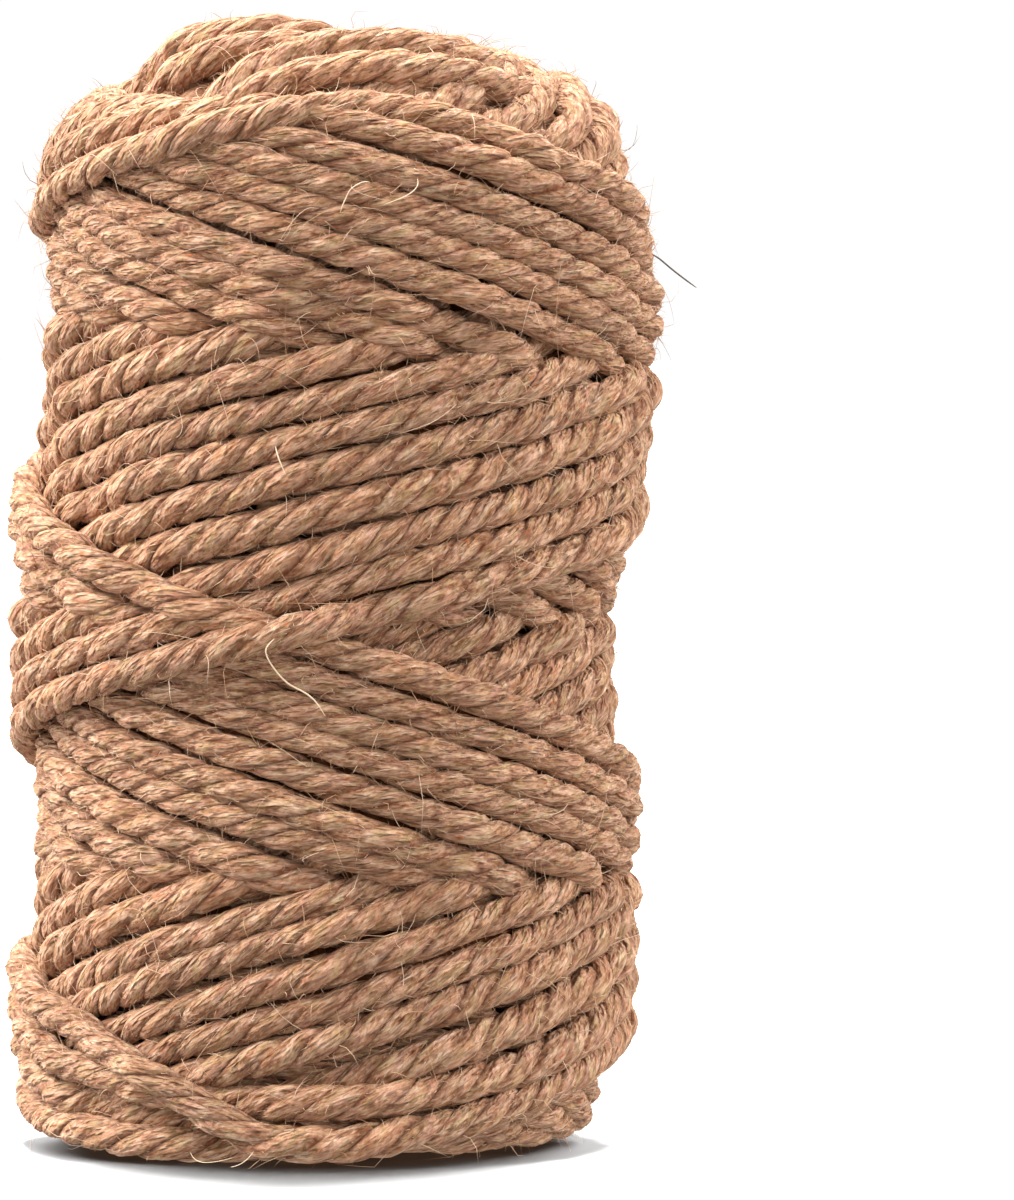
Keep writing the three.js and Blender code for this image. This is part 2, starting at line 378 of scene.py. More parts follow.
# uneven bundles of fibre: lumps a few millimetres long
lumps = rng.normal(0, 1, (len(S), NP))
lumps = (lumps + np.roll(lumps, 1, 0) * 0.8 + np.roll(lumps, -1, 0) * 0.8) / 1.5
lumps = 0.034 * (lumps + 0.35 * np.roll(lumps, 1, 1) + 0.35 * np.roll(lumps, -1, 1))


def frames(p):
    t = np.gradient(p, axis=0)
    t /= np.linalg.norm(t, axis=1, keepdims=True)
    out = p * [1, 1, 0]
    n = out - (out * t).sum(1, keepdims=True) * t
    n /= np.linalg.norm(n, axis=1, keepdims=True) + 1e-12
    return t, n, np.cross(t, n)


def rings(p, s, phase, fat, strands, shift, uneven):
    """Vertices of the rope's surface, ring by ring, along the points p (mm)."""
    t, n, b = frames(p)
    ang = PHI[None] + phase[:, None] + np.repeat(shift, PER_STRAND, axis=1)
    rad = RAD[None] * fat[:, None] * (1 + uneven + np.repeat(strands, PER_STRAND, axis=1) * (1 - 0.6 * GROOVE[None]))
    v = p[:, None] + rad[..., None] * (np.cos(ang)[..., None] * n[:, None] + np.sin(ang)[..., None] * b[:, None])
    return v, t, n, b


class Soup:
    """Rings gathered for one mesh."""

    def __init__(self):
        self.v, self.f, self.uv, self.bake, self.deep, self.n, self.cells = [], [], [], [], [], 0, 0

    def add(self, v, s):
        m = len(v)
        base = self.n
        idx = base + np.arange(m * NP).reshape(m, NP)
        a, b = idx[:-1], idx[1:]
        nx = np.roll(np.arange(NP), -1)
        quads = np.stack([a, a[:, nx], b[:, nx], b], -1).reshape(-1, 4)
        # arc length round the section, in mm, for the fibre texture
        around = np.concatenate([[0], np.cumsum(np.hypot(*np.diff(np.stack([np.append(RAD, RAD[0]) * np.cos(np.append(PHI, PHI[0])),
                                                                            np.append(RAD, RAD[0]) * np.sin(np.append(PHI, PHI[0]))]), axis=1)))])
        u0, u1 = s[:-1, None], s[1:, None]
        v0, v1 = around[:-1][None], around[1:][None]
        one = np.ones((m - 1, NP))
        uv = np.stack([np.stack([u0 * one, v0 * one], -1), np.stack([u0 * one, v1 * one], -1),
                       np.stack([u1 * one, v1 * one], -1), np.stack([u1 * one, v0 * one], -1)], 2)
        self.v.append(v.reshape(-1, 3)); self.f.append(quads); self.uv.append(uv.reshape(-1, 2))
        cell = self.cells + np.arange(m - 1)
        self.bake.append(np.repeat(cell, NP))
        self.cells += m - 1
        self.deep.append(np.tile(GROOVE, m))
        self.n += m * NP
        return idx

    def caps(self, idx, v, s):
        for ring, flip, u in ((0, False, s[0]), (-1, True, s[-1])):
            c = v[ring].mean(0)
            # the cap's centre gets the full groove weight, so the painted groove shade darkens the cut end
            self.v.append(c[None]); self.deep.append(np.array([1.0]))
            ids = idx[ring]
            nxt = np.roll(ids, -1)
            tri = np.stack([np.full(NP, self.n), nxt, ids] if not flip else [np.full(NP, self.n), ids, nxt], -1)
            self.tri.append(tri); self.tri_u.append(np.full((NP * 3, 2), u))
            self.n += 1

    tri, tri_u = None, None


def build_mesh(name, soup, material, row_mm=300.0):
    v = np.concatenate(soup.v) * MM
    quads = np.concatenate(soup.f)
    tris = np.concatenate(soup.tri) if soup.tri else np.zeros((0, 3), int)
    nq, nt_ = len(quads), len(tris)
    me = bpy.data.meshes.new(name)
    me.vertices.add(len(v))
    me.vertices.foreach_set("co", v.astype(np.float32).ravel())
    loops = np.concatenate([quads.ravel(), tris.ravel()])
    me.loops.add(len(loops))
    me.loops.foreach_set("vertex_index", loops.astype(np.int32))
    me.polygons.add(nq + nt_)
    me.polygons.foreach_set("loop_start", np.concatenate([np.arange(nq) * 4, nq * 4 + np.arange(nt_) * 3]).astype(np.int32))
    me.polygons.foreach_set("loop_total", np.concatenate([np.full(nq, 4), np.full(nt_, 3)]).astype(np.int32))
    me.update(calc_edges=True)
    me.shade_smooth()
    # fibre coordinates, in centimetres along the rope and round it
    uv = np.concatenate([np.concatenate(soup.uv)] + ([np.concatenate(soup.tri_u)] if soup.tri_u else []))
    lay = me.uv_layers.new(name="fibre")
    lay.data.foreach_set("uv", (uv * 0.1).astype(np.float32).ravel())
    # a plain unrolled layout: the rope in rows, one above the other
    cell = np.concatenate(soup.bake)
    per = int(row_mm / STEP)
    rows = int(np.ceil(soup.cells / per)) + 1
    k = np.tile(np.arange(NP), len(cell) // NP)
    row, col = cell // per, cell % per
    u0, u1 = (col + 0.0) / per * 0.998 + 0.001, (col + 1.0) / per * 0.998 + 0.001
    w0, w1 = (row + 0.04 + 0.92 * k / NP) / rows, (row + 0.04 + 0.92 * (k + 1) / NP) / rows
    bake = np.stack([np.stack([u0, w0], -1), np.stack([u0, w1], -1), np.stack([u1, w1], -1), np.stack([u1, w0], -1)], 1).reshape(-1, 2)
    if nt_:
        corner = np.tile(np.array([[0.0, 0.0], [1.0, 0.0], [0.5, 1.0]]), (nt_, 1))
        j = np.repeat(np.arange(nt_), 3)
        n_side = int(np.ceil(np.sqrt(nt_))) + 1
        cap = (np.stack([(j % n_side) / n_side, (j // n_side) / n_side * 0.9 / 1.0], -1) + corner * 0.8 / n_side)
        cap = cap * np.array([0.998, 0.9 / rows]) + np.array([0.001, (rows - 1 + 0.05) / rows])
        bake = np.concatenate([bake, cap])
    lay = me.uv_layers.new(name="OFBake")
    lay.data.foreach_set("uv", bake.astype(np.float32).ravel())
    me.uv_layers["fibre"].active = True
    me.uv_layers["fibre"].active_render = True
    # groove weight per vertex; the material paints shade into the valleys between strands from it
    at = me.attributes.new("groove", "FLOAT", "POINT")
    at.data.foreach_set("value", np.concatenate(soup.deep).astype(np.float32))
    me.materials.append(material)
    me.validate()
    ob = bpy.data.objects.new(name, me)
    bpy.context.scene.collection.objects.link(ob)
    return ob


# ---------------------------------------------------------------------------
# Materials
# ---------------------------------------------------------------------------
class Nodes:
    def __init__(self, name):
        self.mat = bpy.data.materials.new(name)
        self.mat.use_nodes = True
        self.t = self.mat.node_tree
        self.t.nodes.clear()
        self.out = self.t.nodes.new("ShaderNodeOutputMaterial")

    def n(self, kind, **props):
        node = self.t.nodes.new(kind)
        for k, v in props.items():
            setattr(node, k, v)
        return node

    def link(self, a, b):
        self.t.links.new(a, b)

    def put(self, socket, value):
        if isinstance(value, bpy.types.NodeSocket):
            self.link(value, socket)
        else:
            socket.default_value = value

    def math(self, op, a, b=None, c=None, clamp=False):
        node = self.n("ShaderNodeMath", operation=op, use_clamp=clamp)
        for s, v in zip(node.inputs, (a, b, c)):
            if v is not None:
                self.put(s, v)
        return node.outputs[0]

    def xyz(self, x, y, z):
        node = self.n("ShaderNodeCombineXYZ")
        for s, v in zip(node.inputs, (x, y, z)):
            self.put(s, v)
        return node.outputs[0]

    def noise(self, vector, scale, detail=3.0, rough=0.55, lac=2.0, kind="FBM"):
        node = self.n("ShaderNodeTexNoise", noise_dimensions="3D", noise_type=kind)
        self.put(node.inputs["Vector"], vector)
        self.put(node.inputs["Scale"], scale)
        self.put(node.inputs["Detail"], detail)
        self.put(node.inputs["Roughness"], rough)
        self.put(node.inputs["Lacunarity"], lac)
        return node.outputs["Fac"]

    def ramp(self, fac, stops, interp="LINEAR"):
        node = self.n("ShaderNodeValToRGB")
        node.color_ramp.interpolation = interp
        while len(node.color_ramp.elements) < len(stops):
            node.color_ramp.elements.new(0.5)
        for e, (p, c) in zip(node.color_ramp.elements, stops):
            e.position = p
            e.color = (*c, 1.0)
        self.put(node.inputs[0], fac)
        return node.outputs[0]

    def mix(self, fac, a, b, blend="MIX"):
        node = self.n("ShaderNodeMix", data_type="RGBA", blend_type=blend, clamp_factor=True)
        self.put(node.inputs[0], fac)
        self.put(node.inputs[6], a)
        self.put(node.inputs[7], b)
        return node.outputs[2]

    def grey(self, value):
        node = self.n("ShaderNodeCombineColor")
        for i in range(3):
            self.put(node.inputs[i], value)
        return node.outputs[0]

    def span(self, x, a, b, c=0.0, d=1.0):
        node = self.n("ShaderNodeMapRange")
        for s, v in zip(node.inputs[:5], (x, a, b, c, d)):
            self.put(s, v)
        return node.outputs[0]


def srgb(r_, g_, b_):
    return tuple(((c / 255) / 12.92 if c / 255 <= 0.04045 else ((c / 255 + 0.055) / 1.055) ** 2.4) for c in (r_, g_, b_))


def rgba(r_, g_, b_):
    return (*srgb(r_, g_, b_), 1.0)


def jute_material():
    k = Nodes("jute_strands")
    uv = k.n("ShaderNodeUVMap", uv_map="fibre")
    sep = k.n("ShaderNodeSeparateXYZ")
    k.link(uv.outputs[0], sep.inputs[0])
    along = k.math("MULTIPLY", sep.outputs[0], 10.0)      # mm
    around = k.math("MULTIPLY", sep.outputs[1], 10.0)
    # fibres lie between the rope's own direction and the strand's
    across = k.math("ADD", around, k.math("MULTIPLY", along, FIBRE_SHEAR))
    mul = lambda x, f: k.math("MULTIPLY", x, f)
    coarse = k.noise(k.xyz(mul(along, 0.26), mul(across, 1.0), 3.1), 1.0, 2.0, 0.6)
    fine = k.noise(k.xyz(mul(along, 0.55), mul(across, 2.3), 7.7), 1.0, 3.0, 0.65)
    hair = k.noise(k.xyz(mul(along, 1.2), mul(across, 6.0), 1.3), 1.0, 2.0, 0.6)
    grain = k.noise(k.xyz(along, around, 4.4), 1.3, 3.0, 0.65)
    tuft = k.noise(k.xyz(mul(along, 0.9), mul(k.math("ADD", around, mul(along, -0.35)), 3.0), 2.2), 1.0, 3.0, 0.6)
    patch = k.noise(k.xyz(mul(along, 0.045), mul(across, 0.18), 9.0), 1.0, 3.0, 0.55)
    blot = k.noise(k.xyz(mul(along, 0.22), mul(across, 0.7), 5.0), 1.0, 3.0, 0.6)
    tint = k.noise(k.xyz(mul(along, 0.3), mul(around, 0.42), 12.0), 1.0, 2.0, 0.6)
    groove = k.n("ShaderNodeAttribute", attribute_name="groove").outputs["Fac"]
    # bundles of fibre a couple of millimetres long, with small recesses between them
    bundle = k.noise(k.xyz(mul(along, 0.40), mul(k.math("ADD", around, mul(along, FIBRE_SHEAR * 0.7)), 0.95), 60.0), 1.0, 1.5, 0.5)
    streak = k.math("ADD", k.math("ADD", mul(coarse, 0.40), mul(grain, 0.2)),
                    k.math("ADD", k.math("ADD", mul(fine, 0.17), mul(hair, 0.05)), mul(tuft, 0.12)))
    base = k.ramp(k.span(streak, 0.345, 0.600), [
        (0.0, srgb(72, 30, 12)), (0.16, srgb(122, 72, 42)), (0.36, srgb(165, 117, 83)), (0.55, srgb(194, 150, 118)),
        (0.76, srgb(214, 174, 143)), (1.0, srgb(236, 205, 176))])
    # pinkish and yellowish stretches, browner and paler ones
    base = k.mix(k.span(tint, 0.50, 0.70, 0.0, 0.75), base, k.mix(0.5, base, rgba(215, 158, 140), "MIX"), "MIX")
    base = k.mix(k.span(tint, 0.30, 0.48, 0.85, 0.0), base, k.mix(0.5, base, rgba(184, 164, 112), "MIX"), "MIX")
    base = k.mix(k.span(patch, 0.42, 0.68, 0.0, 0.4), base, rgba(170, 116, 80), "MIX")
    base = k.mix(k.span(blot, 0.58, 0.78, 0.0, 0.4), base, rgba(230, 194, 160), "MIX")
    base = k.mix(k.span(blot, 0.24, 0.40, 0.5, 0.0), base, rgba(150, 88, 50), "MIX")
    # painted shade: darker colour in the small recesses between fibre bundles
    base = k.mix(k.span(bundle, 0.30, 0.43, 0.5, 0.0), base, rgba(124, 72, 40), "MIX")
    # whole stretches of the rope are darker or paler than others
    stretch = k.noise(k.xyz(mul(along, 0.04), mul(around, 0.03), 51.0), 1.0, 2.0, 0.5)
    base = k.mix(1.0, base, k.grey(k.span(stretch, 0.32, 0.68, 0.84, 1.14)), "MULTIPLY")
    # a few rusty specks
    speck = k.noise(k.xyz(mul(along, 0.42), mul(across, 0.95), 33.0), 1.0, 2.0, 0.5)
    base = k.mix(k.span(speck, 0.685, 0.75, 0.0, 0.75), base, rgba(186, 96, 48), "MIX")
    # painted shade in the valley between two strands: dark in places and bridged by fibres in others
    open_ = k.span(k.noise(k.xyz(mul(along, 0.3), mul(around, 0.5), 21.0), 1.0, 3.0, 0.65), 0.38, 0.56, 0.15, 0.95)
    dark = k.math("SUBTRACT", 1.0, k.math("MULTIPLY", groove, open_))
    base = k.mix(k.math("SUBTRACT", 1.0, dark), base, rgba(96, 44, 18), "MIX")
    bs = k.n("ShaderNodeBsdfPrincipled")
    k.put(bs.inputs["Base Color"], base)
    k.put(bs.inputs["Roughness"], 0.85)
    k.put(bs.inputs["Specular IOR Level"], 0.3)
    k.put(bs.inputs["Sheen Weight"], 0.12)
    k.put(bs.inputs["Sheen Roughness"], 0.45)
    k.put(bs.inputs["Sheen Tint"], rgba(255, 214, 178))
    bump = k.n("ShaderNodeBump")
    k.put(bump.inputs["Strength"], 1.0)
    k.put(bump.inputs["Distance"], 0.0010)
    k.put(bump.inputs["Height"], streak)
    lump = k.n("ShaderNodeBump")
    k.put(lump.inputs["Strength"], 0.9)
    k.put(lump.inputs["Distance"], 0.0011)
    k.put(lump.inputs["Height"], k.span(bundle, 0.28, 0.62))
    k.link(bump.outputs[0], lump.inputs["Normal"])
    k.link(lump.outputs[0], bs.inputs["Normal"])
    k.link(bs.outputs[0], k.out.inputs["Surface"])
    return k.mat


JUTE = jute_material()

# ---------------------------------------------------------------------------
# The turns that show
# ---------------------------------------------------------------------------
P3 = np.stack([r * np.sin(th), -r * np.cos(th), z], -1)
P3 = warp(P3)


def fill_gaps(pts, visible, usual=5.45, reach=7.5):
    """Each turn is as thick as the room between its neighbours, within limits."""
    ids = np.flatnonzero(visible)
    tree = kdtree.KDTree(len(ids))
    for i in ids:
        tree.insert(pts[i], int(i))
    tree.balance()
    t, n, b = frames(pts)
    room = np.full(len(pts), usual)
    apart = int(9.0 / STEP)
    for i in ids:
        up = down = None
        for co, j, dist in tree.find_range(pts[i], reach):
            if abs(j - i) < apart or abs(float(t[i] @ t[j])) < 0.965:
                continue
            d = pts[j] - pts[i]
            side_ = float(d @ b[i])
            if abs(float(d @ n[i])) > 0.55 * dist or abs(side_) < 2.5 or abs(float(d @ t[i])) > 1.0:
                continue
            if side_ > 0:
                up = abs(side_) if up is None else min(up, abs(side_))
            else:
                down = abs(side_) if down is None else min(down, abs(side_))
        known = [v for v in (up, down) if v is not None]
        if known:
            room[i] = sum(known) / len(known)
    ratio = np.clip(room / usual, 0.9, 1.1)
    return gauss(ratio, 7.0 / STEP)


thick = thick * fill_gaps(P3, shown)
LIMIT = 185000
turns, soup, made = [], None, 0
hair_roots = []
for i0, i1 in runs:
    if i1 - i0 < 4:
        continue
    if soup is None or (soup.n + (i1 - i0) * NP) * 2 > LIMIT:
        if soup is not None:
            turns.append(soup)
        soup = Soup()
        soup.tri, soup.tri_u = [], []
    sl = slice(i0, i1)
    v, t, n, b = rings(P3[sl], S[sl], lay_phase[sl], thick[sl], strand_fat[sl], strand_shift[sl], lumps[sl])
    idx = soup.add(v, S[sl])
    soup.caps(idx, v, S[sl])
    hair_roots.append((v, t, np.broadcast_to(P3[sl][:, None], v.shape), np.maximum(side[sl], np.where(z[sl] > 150, above[sl], -9))))
turns.append(soup)
# four turns that have slipped up over the top, and one that lies low at the lower left
SLIPPED = [
    {"x": (-33, -30, -27.5, -24.2, -20, -15, -9.5, -4.5, -0.5, 3.5, 8), "y": (-8, -14, -18.5, -21.5, -23.5, -24.5, -25, -25, -24.5, -23.5, -22),
     "z": (156, 160.5, 164.5, 167.8, 169.6, 170.2, 170.1, 169.6, 168.6, 166.8, 164.0)},
    {"x": (-28, -25.5, -22, -17.5, -12, -6.5, -1.5), "y": (-20, -23.5, -26, -27.6, -28.4, -28.2, -26.5),
     "z": (159.5, 163.0, 165.6, 167.1, 167.9, 168.1, 167.3)},
    {"x": (-24, -21, -18, -14.2, -9.2, -3.5, 2.5, 8.5, 14.5, 20, 25), "y": (-33, -34, -34.6, -34.2, -32.7, -31.3, -30, -29, -28, -25.5, -22),
     "z": (152.5, 156.2, 159.8, 163.2, 165.9, 167.5, 168.2, 168.2, 167.6, 166.2, 164)},
    {"x": (-20, -15, -9.5, -3.5, 3, 9.5, 16, 22, 27), "y": (-36, -36.2, -35.6, -34.8, -34, -33, -31, -28, -25),
     "z": (156.0, 159.8, 162.4, 163.9, 164.5, 164.6, 164.0, 162.8, 161.0)},
    {"x": (-41.5, -43.6, -42.5, -38.6, -33.4, -28.6, -23.4, -18.5, -13.5, -8), "y": (9, -3, -12, -22.6, -30.2, -34.6, -37.6, -38.4, -36.5, -33),
     "z": (6.5, 6.0, 5.5, 4.7, 4.0, 3.5, 3.0, 2.8, 2.8, 2.8)},
]
for k_, row in enumerate(SLIPPED):
    knots = np.stack([row["x"], row["y"], row["z"]], -1).astype(float)
    d_ = np.concatenate([[0], np.cumsum(np.linalg.norm(np.diff(knots, axis=0), axis=1))])
    s_ = np.arange(0, d_[-1], STEP)
    line = np.stack([gauss(np.interp(s_, d_, knots[:, c]), 3.0 / STEP) for c in range(3)], -1)
    at = 4000 + k_ * 700
    pick = slice(at, at + len(s_))
    line = line + np.array([LEAN * line[:, 2].mean() + SHIFT, 0, 0])
    v, t, n, b = rings(line, s_, lay_phase[pick], thick[pick], strand_fat[pick], strand_shift[pick], lumps[pick])
    idx = soup.add(v, s_ + 37.0 * (k_ + 1))
    soup.caps(idx, v, s_ + 37.0 * (k_ + 1))
    hair_roots.append((v, t, np.broadcast_to(line[:, None], v.shape), np.full(len(s_), 0.5)))
ropes = [build_mesh("rope_turns_%d" % (i + 1), s, JUTE) for i, s in enumerate(turns)]
print("rope pieces", [(o.name, sum(len(p.vertices) - 2 for p in o.data.polygons)) for o in ropes])

# ---------------------------------------------------------------------------
# Loose fibres: short ones all over, longer curved ones here and there
# ---------------------------------------------------------------------------
def hair_mesh(name, count, mean, lowest, longest, lift, curl, segments, thick_mm, near, seed, material):
    g = np.random.default_rng(seed)
    v = np.concatenate([h[0].reshape(-1, 3) for h in hair_roots])
    t = np.concatenate([np.repeat(h[1], NP, axis=0) for h in hair_roots])
    c = np.concatenate([h[2].reshape(-1, 3) for h in hair_roots])
    out = v - c
    out /= np.linalg.norm(out, axis=1, keepdims=True)
    radial = c * [1, 1, 0]
    radial /= np.linalg.norm(radial, axis=1, keepdims=True) + 1e-9
    faces_out = (out * radial).sum(1)
    up = out[:, 2]
    zc = c[:, 2]
    depth = np.concatenate([np.repeat(h[3], NP) for h in hair_roots])
    good = (depth > -1.0) & ((faces_out > 0.1) | ((zc > 158) & (up > 0.2))) & (zc > 1.0)
    pool = np.flatnonzero(good)
    pick = g.choice(pool, count, replace=False)
    root, n, t = v[pick] - out[pick] * 0.15, out[pick], t[pick]
    root = root + t * g.uniform(-0.5 * STEP, 0.5 * STEP, (count, 1))
    b = np.cross(t, n)
    along = g.choice([-1.0, 1.0], count)[:, None]
    strand = along * (math.cos(math.radians(20)) * t - math.sin(math.radians(20)) * b)
    wild = g.normal(0, 1, (count, 3))
    rise = g.gamma(2.0, lift / 2.0, count)[:, None]
    d = strand + rise * n + 0.45 * wild
    low = root[:, 2] < 9
    d[low, 2] = np.maximum(d[low, 2], -0.15)
    d /= np.linalg.norm(d, axis=1, keepdims=True)
    size = np.clip(lowest + g.exponential(mean, count), lowest, longest)
    bend = g.normal(0, 1, (count, 3)) * curl
    bend = bend - (bend * d).sum(1, keepdims=True) * d - 0.25 * curl * n
    bend2 = g.normal(0, 1, (count, 3)) * curl * 0.6
    u = np.linspace(0, 1, segments + 1)
    pts = (root[:, None] + d[:, None] * (u[:, None] * size[:, None, None])
           + bend[:, None] * (u ** 2)[:, None] * size[:, None, None] * 0.5
           + bend2[:, None] * (u ** 3)[:, None] * size[:, None, None] * 0.5)
    # held close to the roll, and clear of the surface it stands on
    home = root[:, None, :2]
    reach = np.linalg.norm(pts[..., :2], axis=2) - np.linalg.norm(home, axis=2)
    pull = np.where(reach > 0, near * np.tanh(reach / near) - reach, 0)
    pts[..., :2] *= (1 + pull / (np.linalg.norm(pts[..., :2], axis=2) + 1e-9))[..., None]
    high = pts[..., 2] - root[:, None, 2]
    pts[..., 2] += np.where(high > 0, near * np.tanh(high / near) - high, 0) * (root[:, None, 2] > 140)
    pts[..., 2] = np.maximum(pts[..., 2], 0.15)
    tan = np.gradient(pts, axis=1)
    tan /= np.linalg.norm(tan, axis=2, keepdims=True) + 1e-9
    ref = np.where(np.abs(tan[..., 2:3]) < 0.9, np.array([0, 0, 1.0]), np.array([1.0, 0, 0]))
    e1 = np.cross(tan, ref)
    e1 /= np.linalg.norm(e1, axis=2, keepdims=True) + 1e-9
    e2 = np.cross(tan, e1)
    w = thick_mm * (0.75 + 0.5 * g.random(count))[:, None, None] * (1 - 0.75 * u ** 1.5)[None, :, None]
    ang = np.arange(3) / 3 * TAU
    ring = pts[:, :, None] + w[..., None] * (np.cos(ang)[:, None] * e1[:, :, None] + np.sin(ang)[:, None] * e2[:, :, None])
    ring[:, -1] = pts[:, -1][:, None]
    per = segments * 3 + 1
    verts = np.concatenate([ring[:, :-1].reshape(count, -1, 3), pts[:, -1:]], 1).reshape(-1, 3)
    base = (np.arange(count) * per)[:, None, None]
    i = np.arange(segments - 1)[:, None]
    j = np.arange(3)[None]
    a = i * 3 + j
    b_ = i * 3 + (j + 1) % 3
    quads = np.stack([a, b_, b_ + 3, a + 3], -1).reshape(1, (segments - 1) * 3, 4) + base
    last = (segments - 1) * 3
    tip = np.stack([last + np.arange(3), last + (np.arange(3) + 1) % 3, np.full(3, last + 3)], -1)[None] + base
    quads, tip = quads.reshape(-1, 4), tip.reshape(-1, 3)
    me = bpy.data.meshes.new(name)
    me.vertices.add(len(verts))
    me.vertices.foreach_set("co", (verts * MM).astype(np.float32).ravel())
    loops = np.concatenate([quads.ravel(), tip.ravel()])
    me.loops.add(len(loops))
    me.loops.foreach_set("vertex_index", loops.astype(np.int32))
    me.polygons.add(len(quads) + len(tip))
    me.polygons.foreach_set("loop_start", np.concatenate([np.arange(len(quads)) * 4, len(quads) * 4 + np.arange(len(tip)) * 3]).astype(np.int32))
    me.polygons.foreach_set("loop_total", np.concatenate([np.full(len(quads), 4), np.full(len(tip), 3)]).astype(np.int32))
    me.update(calc_edges=True)
    me.shade_smooth()
    tone = me.attributes.new("tone", "FLOAT", "POINT")
    tone.data.foreach_set("value", np.repeat(g.random(count), per).astype(np.float32))
    # every fibre is one small cell of a grid
    side = int(np.ceil(np.sqrt(count)))
    cell_x, cell_y = (np.arange(count) % side) / side, (np.arange(count) // side) / side
    nqf, ntf = len(quads) // count, len(tip) // count
    qx = np.repeat(cell_x, nqf * 4) + np.tile([0.1, 0.9, 0.9, 0.1], len(quads)) / side
    qy = np.repeat(cell_y, nqf * 4) + np.tile([0.1, 0.1, 0.9, 0.9], len(quads)) / side
    tx = np.repeat(cell_x, ntf * 3) + np.tile([0.1, 0.9, 0.5], len(tip)) / side
    ty = np.repeat(cell_y, ntf * 3) + np.tile([0.1, 0.1, 0.9], len(tip)) / side
    uvs = np.stack([np.concatenate([qx, tx]), np.concatenate([qy, ty])], -1)
    lay = me.uv_layers.new(name="OFBake")
    lay.data.foreach_set("uv", uvs.astype(np.float32).ravel())
    me.materials.append(material)
    ob = bpy.data.objects.new(name, me)
    bpy.context.scene.collection.objects.link(ob)
    print(name, "triangles", len(quads) * 2 + len(tip))
    return ob


def hair_material():
    k = Nodes("jute_fibres")
    tone = k.n("ShaderNodeAttribute", attribute_name="tone").outputs["Fac"]
    col = k.ramp(tone, [(0.0, srgb(150, 100, 66)), (0.35, srgb(196, 152, 116)), (0.75, srgb(220, 184, 150)), (1.0, srgb(238, 210, 180))])
    bs = k.n("ShaderNodeBsdfPrincipled")
    k.put(bs.inputs["Base Color"], col)
    k.put(bs.inputs["Roughness"], 0.6)
    k.put(bs.inputs["Specular IOR Level"], 0.35)
    k.link(bs.outputs[0], k.out.inputs["Surface"])
    return k.mat


FIBRES = hair_material()
few = 1
fuzz = [
    hair_mesh("fibres_fuzz", 46000 // few, 0.55, 0.7, 2.6, 0.9, 0.0, 1, 0.055, 3.0, 21, FIBRES),
    hair_mesh("fibres_short", 9500 // few, 1.5, 1.2, 6.5, 0.9, 1.5, 3, 0.062, 3.2, 23, FIBRES),
    hair_mesh("fibres_long", 1500 // few, 3.2, 3.0, 15.0, 0.4, 1.6, 7, 0.062, 3.8, 22, FIBRES),
]

# a few long fibres that stand out, each along its azimuth (deg), height and distance off the rope (mm)
LOOSE = [
    {"name": "fibre_curl", "azimuth": (-8.8, -10.3, -10.6, -9.9, -8.8, -7.0, -5.0, -3.4, -1.9, -1.0, 0.0),
     "z": (78.2, 76.8, 75.9, 74.3, 72.8, 71.0, 70.4, 69.7, 68.7, 67.5, 66.2),
     "off": (0, 0.9, 1.3, 1.5, 1.5, 1.3, 1.3, 1.4, 1.3, 1.0, 0), "thick": 0.13, "shade": "pale"},
    {"name": "fibre_front", "azimuth": (-10.4, -10.0, -9.1, -8.0), "z": (105.6, 104.8, 103.0, 101.0),
     "off": (0, 0.9, 0.9, 0), "thick": 0.10, "shade": "pale"},
    {"name": "fibre_high_1", "azimuth": (6.3, 5.0, 3.4, 2.2, 1.8, 1.1, 0.7), "z": (145.5, 145.8, 145.1, 144.3, 143.2, 142.0, 140.6),
     "off": (0, 1.2, 1.4, 1.2, 1.4, 1.3, 0), "thick": 0.09, "shade": "pale"},
    {"name": "fibre_high_2", "azimuth": (14.6, 14.8, 12.8, 10.3, 8.2), "z": (146.6, 145.2, 143.8, 142.9, 142.2),
     "off": (0, 1.2, 1.3, 1.1, 0), "thick": 0.08, "shade": "pale"},
    {"name": "fibre_low_1", "azimuth": (-27.5, -25.5, -22.0, -18.0, -14.5), "z": (3.6, 1.4, 0.5, 0.9, 1.8),
     "off": (1.5, 4.5, 8.0, 7.0, 3.5), "thick": 0.065, "shade": "pale"},
    {"name": "fibre_low_2", "azimuth": (-11.0, -12.2, -14.0, -15.6), "z": (3.0, 1.3, 0.5, 0.3),
     "off": (1.0, 4.5, 8.0, 9.5), "thick": 0.065, "shade": "pale"},
    {"name": "fibre_low_3", "azimuth": (-36.0, -35.0, -33.5), "z": (3.2, 1.2, 0.3), "off": (1.5, 4.5, 8.0), "thick": 0.055, "shade": "pale"},
    {"name": "fibre_dark", "azimuth": (84.0, 84.4, 84.8, 85.2, 85.6, 86.0), "z": (137.6, 137.0, 135.8, 134.7, 133.8, 132.6),
     "off": (-1.2, 0.4, 1.5, 2.6, 3.5, 5.0), "thick": 0.14, "shade": "dark"},
]


